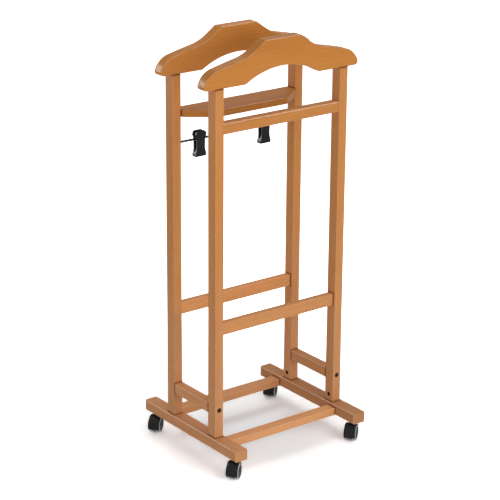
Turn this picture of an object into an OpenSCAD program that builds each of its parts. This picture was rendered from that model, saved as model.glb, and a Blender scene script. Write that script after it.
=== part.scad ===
// Wheeled clothes valet: two wooden coat hangers on four posts, a trouser bar, a tray,
// a rod with two sliding trouser clips, and four twin-wheel casters. There is no seat.
// Millimetres, +Z up. Origin on the floor under the middle of the stand, front towards -Y.

/* [Posts] */
// Width of a post across the stand
post_w = 24.5; // [20:0.5:34]
// Depth of a post, front to back
post_d = 31.5; // [26:0.5:40]
// Length of a post
post_l = 892; // [760:1:1000]
// Clear width between the left and right posts
gap_x = 352.5; // [330:0.5:400]
// Clear depth between the front and rear posts
gap_y = 144.5; // [130:0.5:180]
// Rounding along the edges of the posts and rails
edge_r = 1.5; // [1:0.5:3]

/* [Feet] */
// Width of a foot
foot_w = 37; // [30:0.5:44]
// Height of a foot
foot_h = 28; // [24:0.5:36]
// Length of a foot, front to back
foot_l = 395; // [370:1:470]
// Rounding along the edges of a foot
foot_r = 3; // [1:0.5:5]

/* [Hangers] */
// Overall width of a hanger
hanger_w = 466.5; // [440:0.5:520]
// Height of a hanger
hanger_h = 100; // [92:1:115]
// Width of the flat rest for the collar
collar_w = 101; // [80:1:110]
// Radius of the rounded tips of the shoulders
tip_r = 55; // [40:1:60]
// Radius of the heel under each tip
heel_r = 9.7; // [8:0.1:12]
// Width of the arch cut out of the underside
arch_w = 222; // [160:1:260]
// Height of that arch
arch_h = 31; // [20:1:40]
// Rounding of the hanger's edges
hanger_r = 3.5; // [1:0.5:5]

/* [Rails] */
// Depth of the two base rails between the feet
base_rail_d = 30; // [20:0.5:36]
// Height of the base rails
base_rail_h = 20; // [15:0.5:24]
// Middle of the front base rail from the front ends of the feet
base_front_in = 90; // [65:0.5:110]
// Middle of the rear base rail from the rear ends of the feet
base_rear_in = 71.5; // [55:0.5:110]
// Height of the side rails
side_rail_h = 26.5; // [22:0.5:40]
// Underside of the side rails above the feet
side_rail_z = 60.5; // [40:0.5:90]
// Thickness of the two rails at knee height, front to back
mid_rail_d = 18; // [15:0.5:24]
// Height of those rails
mid_rail_h = 31.5; // [24:0.5:40]
// Underside of those rails above the feet
mid_rail_z = 268.5; // [200:0.5:400]

/* [Trouser bar] */
// Depth of the trouser bar
bar_d = 28.5; // [22:0.5:30]
// Height of the trouser bar
bar_h = 27.5; // [21:0.5:32]
// Top of the trouser bar below the tops of the posts
bar_drop = 84; // [70:0.5:120]
// Set-back of the bar from the front of the posts
bar_setback = 1.25; // [0:0.25:3]
// Radius of the bar's crowned top
bar_crown = 55; // [30:1:200]
// Rounding of the bar's two upper edges
bar_r = 6; // [4:0.5:10]
// Gap left at each end of the bar
bar_gap = 0.7; // [0.2:0.1:0.9]

/* [Tray] */
// Thickness of the tray board
tray_t = 18; // [15:0.5:24]
// Top of the tray below the tops of the posts
tray_drop = 89; // [70:0.5:120]
// Depth of the board from the back of the posts to its front edge
tray_d = 88; // [70:0.5:110]
// Depth of its square part between the posts
tray_side_d = 37; // [34:0.5:50]
// Width of its front edge
tray_front_w = 212; // [160:1:280]
// Radius of its corners
tray_corner_r = 8; // [4:0.5:15]
// Rounding along its edges
tray_edge_r = 2.5; // [1:0.5:3]

/* [Clip rod] */
// Middle of the rod below the tops of the posts
rod_drop = 175; // [150:1:250]
// Distance across the corners of the twisted square rod
rod_across = 6.6; // [6:0.1:6.8]
// Length of one full turn of the twist
rod_pitch = 48; // [30:1:80]
// Length of the round spigot at each end of the rod
spigot_l = 10; // [6:0.5:14]

/* [Clips] */
// Middle of the left clip along the rod
clip_left_x = -111; // [-130:1:-70]
// Middle of the right clip along the rod
clip_right_x = 90; // [70:1:130]
// Width of a clip's jaws
jaw_w = 32; // [28:0.5:36]
// Width of the waist under the pivot
waist_w = 24.5; // [23:0.5:26]
// Reach of the thumb levers above the rod
lever_l = 21; // [19:0.5:26]
// Reach of the jaws below the rod
jaw_l = 45.5; // [38:0.5:50]
// Thickness of a jaw
jaw_t = 3; // [2.6:0.1:3.4]
// Height of the gripping pads
pad_h = 12; // [9:0.5:14]
// Diameter of the spring wire
wire_d = 1; // [0.8:0.1:1]
// Turns of the spring beside the half turn between its legs
spring_turns = 4; // [2:1:4]

/* [Casters] */
// Height of a caster under the foot
caster_h = 50; // [49:0.5:60]
// Diameter of a wheel
wheel_d = 40; // [36:0.5:41]
// Width of one wheel
wheel_w = 10.5; // [8:0.5:12]
// Middle of the swivel from the end of the foot
caster_inset = 27.5; // [26:0.5:60]
// Distance of the axle from the swivel
trail = 12; // [10:0.5:14]
// Direction that the casters trail in, from +X
heading = 218; // [0:1:359]
// Thickness of the web between the wheels
web_t = 9; // [8.5:0.5:12]
// Wall of the hood over the wheels
hood_wall = 3.6; // [2:0.2:4]

/* [Fasteners] */
// Diameter of the wooden dowels
dowel_d = 8; // [6:0.5:9]
// Depth of a dowel in each piece
dowel_in = 14; // [8:0.5:16]
// Depth of the base rails' dowels in the feet, clear of the bolts there
foot_dowel_in = 10; // [8:0.5:11]
// Diameter of the heads of the side rail screws
screw_head_d = 12.5; // [10:0.5:15]
// Length of those screws
screw_l = 60; // [50:1:70]
// Diameter of the cross nuts in the posts
nut_d = 10; // [8:0.5:11]
// Middle of the cross nuts above the feet
nut_up = 18; // [14:0.5:24]

/* [Hidden] */

// Running clearance on the radius of the axles, stems and clips
run_fit = 0.05;
// Clearance on the radius of dowels, screws and sockets in their holes
snug = 0.1;
// Clearance on the radius of stems and axles pressed into a hood
press_gap = 0.02;
// Gap between a tyre and its disc
tyre_gap = 0.3;
// Gap between faces that pass each other
pass_gap = 0.5;
// Depth that a blind hole runs past what sits in it
hole_over = 0.5;
// Overrun of a cutting shape past the face that it cuts
cut = 1;

wood = [0.74, 0.47, 0.25];
beech = [0.86, 0.74, 0.56];
black = [0.13, 0.13, 0.14];
charcoal = [0.2, 0.2, 0.21];
grey = [0.47, 0.47, 0.49];
steel = [0.7, 0.71, 0.73];
bronze = [0.2, 0.15, 0.11];

// Heights and places that follow from the sizes above.
foot_top = caster_h + foot_h;
post_top = foot_top + post_l;
post_x = (gap_x + post_w) / 2;
post_y = (gap_y + post_d) / 2;
post_back = post_y + post_d / 2;
foot_gap = 2 * post_x - foot_w;
base_mid_z = caster_h + base_rail_h / 2;
base_front_y = base_front_in - foot_l / 2;
base_rear_y = foot_l / 2 - base_rear_in;
side_mid_z = foot_top + side_rail_z + side_rail_h / 2;
mid_z = foot_top + mid_rail_z + mid_rail_h / 2;
bar_z = post_top - bar_drop - bar_h / 2;
bar_y = bar_setback + bar_d / 2 - post_back;
bar_l = gap_x - 2 * bar_gap;
tray_z = post_top - tray_drop - tray_t / 2;
rod_z = post_top - rod_drop;
nut_z = foot_top + nut_up;
stem_y = foot_l / 2 - caster_inset;

function unit(a) = [cos(a), sin(a)];
function reversed(list) = [for (i = [len(list) - 1:-1:0]) list[i]];
// Points of an arc run through from heading h0 to h1 and drawn in by e on the right-hand
// side. An arc that bends to the left has a negative radius.
function arc_points(centre, r, h0, h1, steps, e, first = 0) =
    [for (k = [first:steps]) centre + (r - e) * unit(h0 + 90 + (h1 - h0) * k / steps)];
// Middle of such an arc that passes p with the heading h.
function arc_centre(p, r, h) = p - r * unit(h + 90);
function arc_heading(from_centre) = atan2(from_centre[1], from_centre[0]) - 90;

// Faces of a closed skin over rings of n points, for rings that run clockwise as seen
// from the side that they advance to. The cap is the list of faces that closes a ring.
function one_face(n) = [[for (j = [0:n - 1]) j]];
function skin_faces(n, rings, cap) = concat(
    [for (f = cap) reversed(f)],
    [for (i = [0:rings - 2]) for (j = [0:n - 1])
        each [
            [i * n + j, i * n + (j + 1) % n, (i + 1) * n + (j + 1) % n],
            [i * n + j, (i + 1) * n + (j + 1) % n, (i + 1) * n + j]
        ]],
    [for (f = cap) [for (j = f) (rings - 1) * n + j]]
);

// Insets and heights of the rings of a slab t thick whose edges roll over with radius r.
roll_steps = 3;
function roll_in(r) = [for (k = [0:roll_steps]) r * (1 - sin(90 * k / roll_steps))];
function roll_up(r) = [for (k = [0:roll_steps]) r * (1 - cos(90 * k / roll_steps))];
function slab_insets(r) = concat(roll_in(r), reversed(roll_in(r)));
function slab_heights(r, t) = concat(roll_up(r), [for (h = reversed(roll_up(r))) t - h]);
module rolled_slab(rings, heights, cap) {
    points = [for (i = [0:len(rings) - 1]) for (p = rings[i]) [p[0], p[1], heights[i]]];
    polyhedron(points, skin_faces(len(rings[0]), len(rings), cap), convexity = 6);
}

// A rectangle w by h with its four corners rounded.
module rounded_rect(w, h, r) {
    square([w - 2 * r, h], center = true);
    square([w, h - 2 * r], center = true);
    for (x = [-1, 1], y = [-1, 1])
        translate([x * (w / 2 - r), y * (h / 2 - r)]) circle(r, $fn = 32);
}

// Round pegs and holes from the origin towards +X or -X, and towards +Y or -Y.
module peg_x(r, l, way = 1) rotate([0, way * 90, 0]) cylinder(r = r, h = l, $fn = 48);
module peg_y(r, l, way = 1) rotate([way * -90, 0, 0]) cylinder(r = r, h = l, $fn = 48);

// A profile in Y and Z carried along X, centred.
module along_x(l) translate([-l / 2, 0, 0]) rotate([90, 0, 90]) linear_extrude(l) children();

// Dowels, and the holes for them in the two ends of a bar of length l. Each dowel reaches
// dowel_in into the bar and depth into the piece beside it.
dowel_r = dowel_d / 2;
dowel_hole_r = dowel_r + snug;
dowel_hole = dowel_in + hole_over;
module end_holes(l) {
    for (s = [-1, 1]) translate([s * (l / 2 + cut), 0, 0]) peg_x(dowel_hole_r, dowel_hole + cut, -s);
}
module dowel_pair(half_gap, y, z, depth = dowel_in) {
    for (s = [-1, 1]) translate([s * (half_gap - dowel_in), y, z]) peg_x(dowel_r, dowel_in + depth, s);
}
module dowels() {
    color(beech) {
        for (sx = [-1, 1], sy = [-1, 1]) translate([sx * post_x, sy * post_y, post_top - dowel_in])
            cylinder(r = dowel_r, h = 2 * dowel_in, $fn = 48);
        for (sy = [-1, 1]) dowel_pair(gap_x / 2, sy * post_y, mid_z);
        for (y = [base_front_y, base_rear_y]) dowel_pair(foot_gap / 2, y, base_mid_z, foot_dowel_in);
        dowel_pair(gap_x / 2, bar_y, bar_z);
        dowel_pair(gap_x / 2, post_y, tray_z);
    }
}

// Screws through the posts into the side rails, their heads just below the surface.
screw_r = 3;
screw_sink = 0.5;
screw_head_t = 2.5;
key_w = 5;
key_depth = 1.5;
// Bolts through the feet into cross nuts in the posts.
bolt_r = 3;
bolt_head_r = 6;
bolt_head_t = 4;
bolt_sink = 5;
bolt_room = 0.6;
nut_l = 12;
bolt_head_z = caster_h + bolt_sink;
bolt_l = nut_z + nut_d / 2 - bolt_head_z;

// A socket-head fastener whose head's face is at z = 0 and whose shank points down.
module socket_head(head_r, head_t, shank_r, l) {
    difference() {
        union() {
            translate([0, 0, -head_t]) cylinder(r = head_r, h = head_t, $fn = 48);
            translate([0, 0, -l]) cylinder(r = shank_r, h = l, $fn = 48);
        }
        translate([0, 0, -key_depth]) cylinder(d = key_w, h = key_depth + cut, $fn = 6);
    }
}
module side_rail_screws() {
    color(bronze) for (sx = [-1, 1], sy = [-1, 1])
        translate([sx * post_x, sy * (post_back - screw_sink), side_mid_z])
            rotate([sy * -90, 0, 0]) socket_head(screw_head_d / 2, screw_head_t, screw_r, screw_l);
}
module foot_bolts() {
    color(bronze) for (sx = [-1, 1], sy = [-1, 1])
        translate([sx * post_x, sy * post_y, bolt_head_z])
            rotate([180, 0, 0]) socket_head(bolt_head_r, bolt_head_t, bolt_r, bolt_l);
}
module cross_nuts() {
    color(bronze) for (sx = [-1, 1], sy = [-1, 1]) translate([sx * post_x, sy * post_y, nut_z])
        difference() {
            translate([-nut_l / 2, 0, 0]) peg_x(nut_d / 2, nut_l);
            translate([0, 0, -nut_d]) cylinder(r = bolt_r + snug, h = 2 * nut_d, $fn = 48);
        }
}

// sx is -1 for the left and 1 for the right; sy is -1 for the front and 1 for the rear.
module post(sx, sy) {
    color(wood) translate([sx * post_x, sy * post_y, 0]) difference() {
        translate([0, 0, foot_top]) linear_extrude(post_l) rounded_rect(post_w, post_d, edge_r);
        // dowel of the hanger
        translate([0, 0, post_top - dowel_hole])
            cylinder(r = dowel_hole_r, h = dowel_hole + cut, $fn = 48);
        // bolt from under the foot, with its cross nut
        translate([0, 0, foot_top - cut])
            cylinder(r = bolt_r + snug, h = cut + nut_up + nut_d / 2 + hole_over, $fn = 48);
        inner_hole(sx, 0, nut_z, nut_d / 2 + snug, (post_w + nut_l) / 2 + hole_over);
        // screw into the side rail
        translate([0, -post_d / 2 - cut, side_mid_z]) peg_y(screw_r + snug, post_d + 2 * cut);
        translate([0, sy * (post_d / 2 + cut), side_mid_z])
            peg_y(screw_head_d / 2 + snug, screw_sink + screw_head_t + cut, -sy);
        // dowels of the rail, and of the trouser bar or the tray
        inner_hole(sx, 0, mid_z, dowel_hole_r, dowel_hole);
        if (sy < 0) inner_hole(sx, bar_y + post_y, bar_z, dowel_hole_r, dowel_hole);
        if (sy > 0) inner_hole(sx, 0, tray_z, dowel_hole_r, dowel_hole);
        if (sy > 0) inner_hole(sx, 0, rod_z, spigot_r + snug, spigot_l + hole_over);
    }
}
// A hole l deep into the inner face of a post that stands at the origin.
module inner_hole(sx, y, z, r, l) {
    translate([-sx * (post_w / 2 + cut), y, z]) peg_x(r, l + cut, sx);
}

module foot(sx) {
    color(wood) difference() {
        intersection() {
            translate([sx * post_x, foot_l / 2, caster_h + foot_h / 2]) rotate([90, 0, 0])
                linear_extrude(foot_l) rounded_rect(foot_w, foot_h, foot_r);
            translate([sx * post_x, 0, caster_h])
                linear_extrude(foot_h) rounded_rect(foot_w, foot_l, foot_r);
        }
        for (sy = [-1, 1]) {
            translate([sx * post_x, sy * stem_y, caster_h - cut])
                cylinder(r = socket_r + snug, h = cut + socket_l + hole_over, $fn = 48);
            translate([sx * post_x, sy * post_y, caster_h - cut]) {
                cylinder(r = bolt_r + snug, h = foot_h + 2 * cut, $fn = 48);
                cylinder(r = bolt_head_r + bolt_room, h = cut + bolt_sink + bolt_head_t, $fn = 48);
            }
        }
        for (y = [base_front_y, base_rear_y])
            translate([sx * (foot_gap / 2 - cut), y, base_mid_z])
                peg_x(dowel_hole_r, foot_dowel_in + hole_over + cut, sx);
    }
}

module base_rail(y) {
    color(wood) translate([0, y, base_mid_z]) difference() {
        along_x(foot_gap) rounded_rect(base_rail_d, base_rail_h, edge_r);
        end_holes(foot_gap);
    }
}

module mid_rail(sy) {
    color(wood) translate([0, sy * post_y, mid_z]) difference() {
        along_x(gap_x) rounded_rect(mid_rail_d, mid_rail_h, edge_r);
        end_holes(gap_x);
    }
}

module side_rail(sx) {
    hole = screw_sink + screw_l - post_d + hole_over;
    color(wood) translate([sx * post_x, 0, side_mid_z]) difference() {
        translate([0, gap_y / 2, 0]) rotate([90, 0, 0])
            linear_extrude(gap_y) rounded_rect(post_w, side_rail_h, edge_r);
        for (s = [-1, 1]) translate([0, s * (gap_y / 2 + cut), 0])
            peg_y(screw_r + snug, hole + cut, -s);
    }
}

// Section of the trouser bar, with a crowned top where the trousers fold over it. The
// circles of the two upper edges stand a hair proud of the crown, so that the curves cross.
module bar_section() {
    proud = 0.02;
    low = -bar_h / 2;
    half = bar_d / 2;
    side = half - bar_r;
    crown_z = bar_h / 2 - bar_crown;
    edge_z = crown_z + sqrt(pow(bar_crown - bar_r, 2) - pow(side, 2)) + proud;
    touch = side * bar_crown / (bar_crown - bar_r);
    intersection() {
        translate([0, crown_z]) circle(bar_crown, $fn = 256);
        translate([-touch, low]) square([2 * touch, bar_h + cut]);
    }
    translate([edge_r - half, low]) square([bar_d - 2 * edge_r, edge_z - low]);
    translate([-half, low + edge_r]) square([bar_d, edge_z - low - edge_r]);
    for (s = [-1, 1]) {
        translate([s * side, edge_z]) circle(bar_r, $fn = 64);
        translate([s * (half - edge_r), low + edge_r]) circle(edge_r, $fn = 32);
    }
}
module trouser_bar() {
    color(wood) translate([0, bar_y, bar_z]) difference() {
        along_x(bar_l) bar_section();
        end_holes(bar_l);
    }
}

// The tray's outline from the rear right corner, clockwise from above: [x, y, radius].
tray_back_r = tray_edge_r + 0.5;
tray_right = [
    [gap_x / 2, 0, tray_back_r],
    [gap_x / 2, -tray_side_d, tray_corner_r],
    [tray_front_w / 2, -tray_d, tray_corner_r]
];
tray_corners = concat(tray_right, [for (c = reversed(tray_right)) [-c[0], c[1], c[2]]]);
corner_steps = 5;
function corner_arc(a, b, c, r, e) =
    let(u = b - a, v = c - b, h = atan2(u[1], u[0]), bend = atan2(cross(u, v), u * v))
    let(centre = b - r * (unit(h + 90) + unit(h + bend + 90)) / (1 + cos(bend)))
    arc_points(centre, r, h, h + bend, corner_steps, e);
function flat(p) = [p[0], p[1]];
function rounded_outline(corners, e) =
    let(n = len(corners))
    [for (i = [0:n - 1]) each corner_arc(
        flat(corners[(i + n - 1) % n]), flat(corners[i]), flat(corners[(i + 1) % n]),
        corners[i][2], e)];
module tray_shelf() {
    rings = [for (e = slab_insets(tray_edge_r)) rounded_outline(tray_corners, e)];
    color(wood) difference() {
        translate([0, post_back, tray_z - tray_t / 2])
            rolled_slab(rings, slab_heights(tray_edge_r, tray_t), one_face(len(rings[0])));
        translate([0, post_y, tray_z]) end_holes(gap_x);
    }
}

// Half of a hanger's outline, from the collar rest down the shoulder to the tip. A steep
// straight leads into a dip, and one long arc joins the dip and the tip's own arc.
collar_r = 9;
steep = -35;
steep_run = 31;
dip_r = 120;
shoulder_r = 2000;
tip_low = -68;
collar_centre = [collar_w / 2, hanger_h - collar_r];
dip_start = collar_centre + collar_r * unit(steep + 90) + steep_run * unit(steep);
dip_centre = arc_centre(dip_start, -dip_r, steep);
heel_centre = [hanger_w / 2 - heel_r, heel_r];
tip_centre = heel_centre - (tip_r - heel_r) * unit(tip_low + 90);
// The long arc touches the dip from outside and the tip's arc from inside.
shoulder_centre = circles_meet(dip_centre, shoulder_r + dip_r, tip_centre, shoulder_r - tip_r);
function circles_meet(a, ra, b, rb) =
    let(d = norm(b - a), u = (b - a) / d)
    let(t = (d * d + ra * ra - rb * rb) / (2 * d))
    a + t * u + sqrt(ra * ra - t * t) * [u[1], -u[0]];
dip_end = arc_heading(dip_centre - shoulder_centre);
tip_start = arc_heading(tip_centre - shoulder_centre);
// The arch's circle, and its points from the flat underside up to the middle.
arch_r = (pow(arch_w / 2, 2) + pow(arch_h, 2)) / (2 * arch_h);
arch_steps = 12;
function arch_points(e) =
    let(middle = [0, arch_h - arch_r], r = arch_r + e, low = asin((e - middle[1]) / r))
    [for (k = [0:arch_steps - 1]) middle + r * unit(low + (90 - low) * k / arch_steps)];
function hanger_upper(e) = concat(
    arc_points(collar_centre, collar_r, 0, steep, 5, e),
    arc_points(dip_centre, -dip_r, steep, dip_end, 6, e),
    arc_points(shoulder_centre, shoulder_r, dip_end, tip_start, 4, e, 1),
    arc_points(tip_centre, tip_r, tip_start, tip_low, 8, e, 1)
);
function hanger_lower(e) = concat(
    arc_points(heel_centre, heel_r, tip_low, -180, 8, e, 1),
    arch_points(e)
);
function hanger_outline(e) =
    let(half = concat(hanger_upper(e), hanger_lower(e)))
    concat(half, [[0, arch_h + e]], [for (p = reversed(half)) [-p[0], p[1]]]);
// Faces over a hanger's flat side. Strips of triangles lead from its upper line down to its
// lower one, because the side is hollow at the dips and the arch.
upper_end = len(hanger_upper(0)) - 1;
arch_top = upper_end + len(hanger_lower(0)) + 1;
function across(i) = arch_top - round((arch_top - upper_end - 1) * i / upper_end);
function mirrored(f) = [for (j = reversed(f)) 2 * arch_top - j];
function hanger_side() = concat(
    [[0, arch_top, 2 * arch_top]],
    [for (i = [0:upper_end - 1])
        let(near = [i, i + 1, across(i)], far = [i + 1, across(i + 1), across(i)])
        each concat([near, mirrored(near)], far[1] < far[2] ? [far, mirrored(far)] : [])]
);
module hanger(sy) {
    rings = [for (e = slab_insets(hanger_r)) hanger_outline(e)];
    color(wood) difference() {
        translate([0, sy * post_y + post_d / 2, post_top]) rotate([90, 0, 0])
            rolled_slab(rings, slab_heights(hanger_r, post_d), hanger_side());
        for (sx = [-1, 1]) translate([sx * post_x, sy * post_y, post_top - cut])
            cylinder(r = dowel_hole_r, h = dowel_hole + cut, $fn = 48);
    }
}

// Twisted square rod with a round spigot in each rear post.
spigot_r = rod_across / 2;
twist_slices = 12;
module clip_rod() {
    turns = gap_x / rod_pitch;
    color(charcoal) translate([0, post_y, rod_z]) {
        translate([-gap_x / 2, 0, 0]) rotate([90, 0, 90])
            linear_extrude(gap_x, twist = -360 * turns, slices = ceil(turns * twist_slices))
                circle(d = rod_across, $fn = 4);
        for (s = [-1, 1]) translate([s * gap_x / 2, 0, 0]) peg_x(spigot_r, spigot_l, s);
    }
}

// Clips: two jaws that pivot on a sleeve round the rod and are closed by a torsion spring.
sleeve_wall = 0.8;
sleeve_hole_r = rod_across / 2 + snug;
sleeve_r = sleeve_hole_r + sleeve_wall;
pivot_r = sleeve_r + run_fit;
ear_t = 2;
ear_r = pivot_r + 1.3;
ear_gap = 0.3;
relief_r = ear_r + pass_gap;
jaw_out = jaw_t + 5;
jaw_in = jaw_out - jaw_t;
pad_gap = 0.15;
pad_slope = 4;
flute_r = 0.9;
flutes = 3;
nose = 1.5;
spring_pitch = 1.6;
coil_half = spring_turns * spring_pitch / 2;
front_ear_x = coil_half + wire_d / 2 + pass_gap;
rear_ear_x = front_ear_x + ear_t + ear_gap;
sleeve_l = 2 * (rear_ear_x + ear_t + pass_gap);

module at_clip(x) translate([x, post_y, rod_z]) children();
module clip_sleeve(x) {
    color(steel) at_clip(x) difference() {
        translate([-sleeve_l / 2, 0, 0]) peg_x(sleeve_r, sleeve_l);
        translate([-sleeve_l / 2 - cut, 0, 0]) peg_x(sleeve_hole_r, sleeve_l + 2 * cut);
    }
}
// Right half of a jaw's front view: round lever, narrow neck and flared mouth. Two arcs
// that bend opposite ways lead from each width to the next.
lever_r = 9;
neck_r = 14;
flare_r = 30;
lip_h = 4;
mouth_r = 2;
half_step = (jaw_w - waist_w) / 2;
neck_bend = acos(1 - half_step / (lever_r + neck_r));
flare_bend = acos(1 - half_step / (2 * flare_r));
lever_z = lever_l - lever_r;
neck_z = lever_z - (lever_r + neck_r) * sin(neck_bend);
lip_z = lip_h - jaw_l;
flare_z = lip_z + 2 * flare_r * sin(flare_bend);
jaw_right = concat(
    arc_points([jaw_w / 2 - lever_r, lever_z], lever_r, 0, -90 - neck_bend, 12, 0),
    arc_points([waist_w / 2 + neck_r, neck_z], -neck_r, -90 - neck_bend, -90, 3, 0, 1),
    arc_points([waist_w / 2 + flare_r, flare_z], -flare_r, -90, flare_bend - 90, 3, 0),
    arc_points([jaw_w / 2 - flare_r, lip_z], flare_r, flare_bend - 90, -90, 3, 0, 1),
    arc_points([jaw_w / 2 - mouth_r, mouth_r - jaw_l], mouth_r, -90, -180, 5, 0)
);
module jaw_outline() polygon(concat(jaw_right, [for (p = reversed(jaw_right)) [-p[0], p[1]]]));
// Side view of the front jaw: the lever above, and the pad that closes on the other jaw.
// Its top and bottom run past the front view, which trims them.
module jaw_side() {
    toe = jaw_out - 1;
    polygon([
        [-jaw_in, lever_l + cut], [nose + cut - jaw_out, lever_l + cut],
        [-jaw_out, lever_l - nose], [-jaw_out, 0], [-toe, -jaw_l / 2], [-toe, nose - jaw_l],
        [nose + cut - toe, -jaw_l - cut], [-pad_gap, -jaw_l - cut], [-pad_gap, pad_h - jaw_l],
        [1 - jaw_in, pad_h + pad_slope - jaw_l], [-jaw_in, -relief_r]
    ]);
}
module jaw_wall() {
    difference() {
        intersection() {
            along_x(jaw_w + 2 * cut) jaw_side();
            translate([0, cut, 0]) rotate([90, 0, 0]) linear_extrude(jaw_out + 2 * cut) jaw_outline();
        }
        translate([-jaw_w / 2 - cut, 0, 0]) peg_x(relief_r, jaw_w + 2 * cut);
        for (k = [1:flutes]) translate([-jaw_w / 2 - cut, 0, k * pad_h / (flutes + 1) - jaw_l])
            peg_x(flute_r, jaw_w + 2 * cut);
    }
}
// A jaw on the front of the pivot, with its two ears from ear_x outwards.
module jaw(ear_x) {
    web_y = jaw_in + jaw_t / 2;
    difference() {
        union() {
            jaw_wall();
            for (s = [-1, 1]) translate([s * (ear_x + ear_t / 2) - ear_t / 2, 0, 0]) {
                peg_x(ear_r, ear_t);
                translate([0, -web_y, -pivot_r]) cube([ear_t, web_y - ear_t, 2 * pivot_r]);
            }
        }
        translate([-jaw_w / 2, 0, 0]) peg_x(pivot_r, jaw_w);
    }
}
module clip_front_jaw(x) {
    color(charcoal) at_clip(x) jaw(front_ear_x);
}
module clip_rear_jaw(x) {
    color(charcoal) at_clip(x) rotate([0, 0, 180]) jaw(rear_ear_x);
}

// Torsion spring: down the rear lever, round the sleeve and up the front lever.
coil_rings = 8;
wire_sides = 6;
coil_gap = 0.2;
// The straight stretches between the rings keep the gap off the sleeve.
coil_r = (sleeve_r + coil_gap + wire_d / 2) / cos(180 / coil_rings);
leg_y = jaw_in - wire_d / 2 - snug;
leg_low = 3.2;
leg_top = 13;
bends = spring_turns + 0.5;
function coil_point(t) =
    let(a = 360 * bends * t) [coil_half * (2 * t - 1), coil_r * cos(a), -coil_r * sin(a)];
spring_path = concat(
    [[-coil_half, leg_y, leg_top], [-coil_half, leg_y, leg_low]],
    [for (k = [0:coil_rings * bends]) coil_point(k / (coil_rings * bends))],
    [[coil_half, -leg_y, leg_low], [coil_half, -leg_y, leg_top]]
);
// The ring of points round the wire at point i of a path that never runs along X.
function wire_ring(path, i) =
    let(along = path[min(i + 1, len(path) - 1)] - path[max(i - 1, 0)], t = along / norm(along))
    let(s = cross(t, [1, 0, 0]), u = s / norm(s), v = cross(u, t))
    [for (k = [0:wire_sides - 1])
        path[i] + wire_d / 2 * (cos(360 * k / wire_sides) * u + sin(360 * k / wire_sides) * v)];
module clip_spring(x) {
    points = [for (i = [0:len(spring_path) - 1]) each wire_ring(spring_path, i)];
    color(steel) at_clip(x)
        polyhedron(points, skin_faces(wire_sides, len(spring_path), one_face(wire_sides)), convexity = 8);
}
// Least gap between stretches of the wire that lie half a turn or more apart along it.
wire_gap = min([
    for (i = [0:len(spring_path) - 1])
        for (j = [i + coil_rings / 2:1:len(spring_path) - 1])
            norm(spring_path[i] - spring_path[j]) - wire_d
]);
echo(spring_wire_gap = wire_gap);

// Casters: a stem in a socket in the foot, a hood with a web, and a wheel on either side.
stem_r = 3.6;
stem_nose = 1;
stem_floor = 5.5;
socket_r = stem_r + run_fit + 1.8;
socket_l = 21;
flange_r = 9;
flange_t = 1.5;
axle_z = wheel_d / 2;
axle_r = 2.5;
axle_in = 8;
tyre_r = wheel_d / 2;
tyre_t = 3;
shoulder = 2.4;
disc_r = tyre_r - tyre_t;
disc_sink = 0.4;
dish = 1.2;
hub_r = 5.5;
rim_w = 2;
wheel_gap = 0.75;
wheel_x = web_t / 2 + wheel_gap;
axle_l = 2 * (wheel_x + axle_in);
hood_gap = 0.8;
hood_in_r = tyre_r + hood_gap;
hood_r = hood_in_r + hood_wall;
hood_round = hood_wall - 0.4;
hood_w = 2 * (wheel_x + wheel_w) - 1.5;
hood_low = -18;
hood_high = 150;
web_r = tyre_r - 1.5;
boss_r = 7.5;
boss_top = caster_h - flange_t - pass_gap;
stem_low = axle_z + axle_r + stem_floor;
stem_top = caster_h + socket_l - stem_nose;

module at_swivel(sx, sy) translate([sx * post_x, sy * stem_y, 0]) rotate([0, 0, heading]) children();
// Lays a shape's X axis along the trail and its Z axis along the axle.
module at_axle(sx, sy) at_swivel(sx, sy) on_axle() children();
module on_axle() translate([trail, 0, axle_z]) rotate([90, 0, 0]) children();

// Half section of the hood and of the part of the web under it: radius, then width.
module hood_section() {
    half = hood_w / 2;
    translate([hood_in_r, -half]) square([hood_wall - hood_round, hood_w]);
    translate([hood_in_r, hood_round - half]) square([hood_wall, hood_w - 2 * hood_round]);
    translate([web_r - cut, -web_t / 2]) square([hood_in_r + cut - web_r + cut, web_t]);
    for (s = [-1, 1]) intersection() {
        translate([hood_r - hood_round, s * (half - hood_round)]) circle(hood_round, $fn = 48);
        translate([hood_in_r, -half]) square([hood_wall, hood_w]);
    }
}
module caster_hood(sx, sy) {
    color(black) at_swivel(sx, sy) difference() {
        union() {
            on_axle() rotate([0, 0, hood_low])
                rotate_extrude(angle = hood_high - hood_low, $fn = 96) hood_section();
            on_axle() cylinder(r = web_r, h = web_t, center = true, $fn = 96);
            difference() {
                translate([0, 0, axle_z]) cylinder(r = boss_r, h = boss_top - axle_z, $fn = 48);
                on_axle() cylinder(r = hood_in_r + cut, h = 2 * hood_w, center = true, $fn = 96);
            }
        }
        translate([0, 0, stem_low]) cylinder(r = stem_r + press_gap, h = caster_h, $fn = 48);
        on_axle() cylinder(r = axle_r + press_gap, h = 2 * web_t, center = true, $fn = 48);
    }
}
module caster_stem(sx, sy) {
    color(steel) at_swivel(sx, sy) translate([0, 0, stem_low]) {
        cylinder(r = stem_r, h = stem_top - stem_low - stem_nose, $fn = 48);
        translate([0, 0, stem_top - stem_low - stem_nose])
            cylinder(r1 = stem_r, r2 = stem_r - stem_nose, h = stem_nose, $fn = 48);
    }
}
module caster_axle(sx, sy) {
    color(steel) at_axle(sx, sy) cylinder(r = axle_r, h = axle_l, center = true, $fn = 48);
}
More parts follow.
